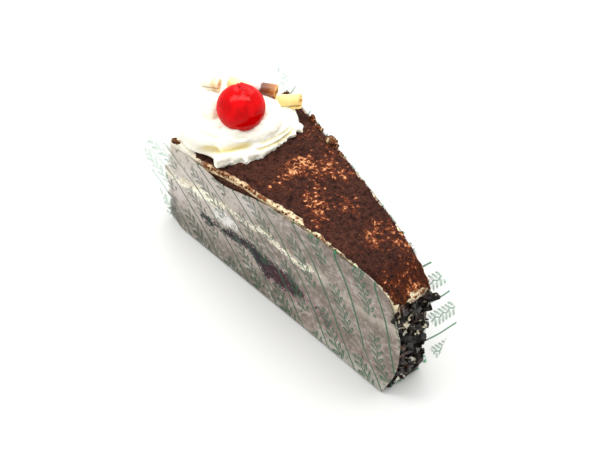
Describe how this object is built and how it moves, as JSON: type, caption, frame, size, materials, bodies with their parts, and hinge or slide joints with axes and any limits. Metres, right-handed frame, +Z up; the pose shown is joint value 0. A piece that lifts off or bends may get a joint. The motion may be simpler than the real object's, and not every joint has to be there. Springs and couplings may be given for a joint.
{
  "type": "black forest cake slice",
  "caption": "Wedge of layered chocolate sponge, cherry filling and cream with a cocoa top, chocolate shards, piped cream, a glazed cherry and chocolate curls, lying in folded clear film.",
  "frame": {"origin": "on the flat underside of the film, halfway along the slice and on its middle line", "axes": "+X from the wide rim end to the narrow end, +Z up, and the cut face that the picture shows towards -Y"},
  "size_m": [0.1397, 0.0613, 0.0739],
  "materials": {
    "film": "thin clear plastic film with thin dark green slanting lines",
    "sponge": "open dark chocolate sponge crumb",
    "cherry_filling": "dark sticky cherry jam with pieces of cherry",
    "cream": "soft whipped cream",
    "cocoa_top": "cream dusted with dark cocoa, with dark chocolate shards on both ends",
    "cherry": "wet glazed red cherry",
    "pale_chocolate": "pale yellow chocolate, smooth and slightly waxy",
    "marbled_chocolate": "pale and dark chocolate, smooth and slightly waxy"
  },
  "bodies": {
    "root": {"sponge_base": "sponge", "cherry_filling": "cherry_filling", "sponge_middle": "sponge", "cream_middle": "cream", "sponge_top": "sponge", "cream_coat": "cocoa_top", "rosette": "cream", "cherry": "cherry", "curl_left": "pale_chocolate", "curl_middle": "marbled_chocolate", "curl_right": "pale_chocolate", "film": "film"}
  },
  "joints": []
}
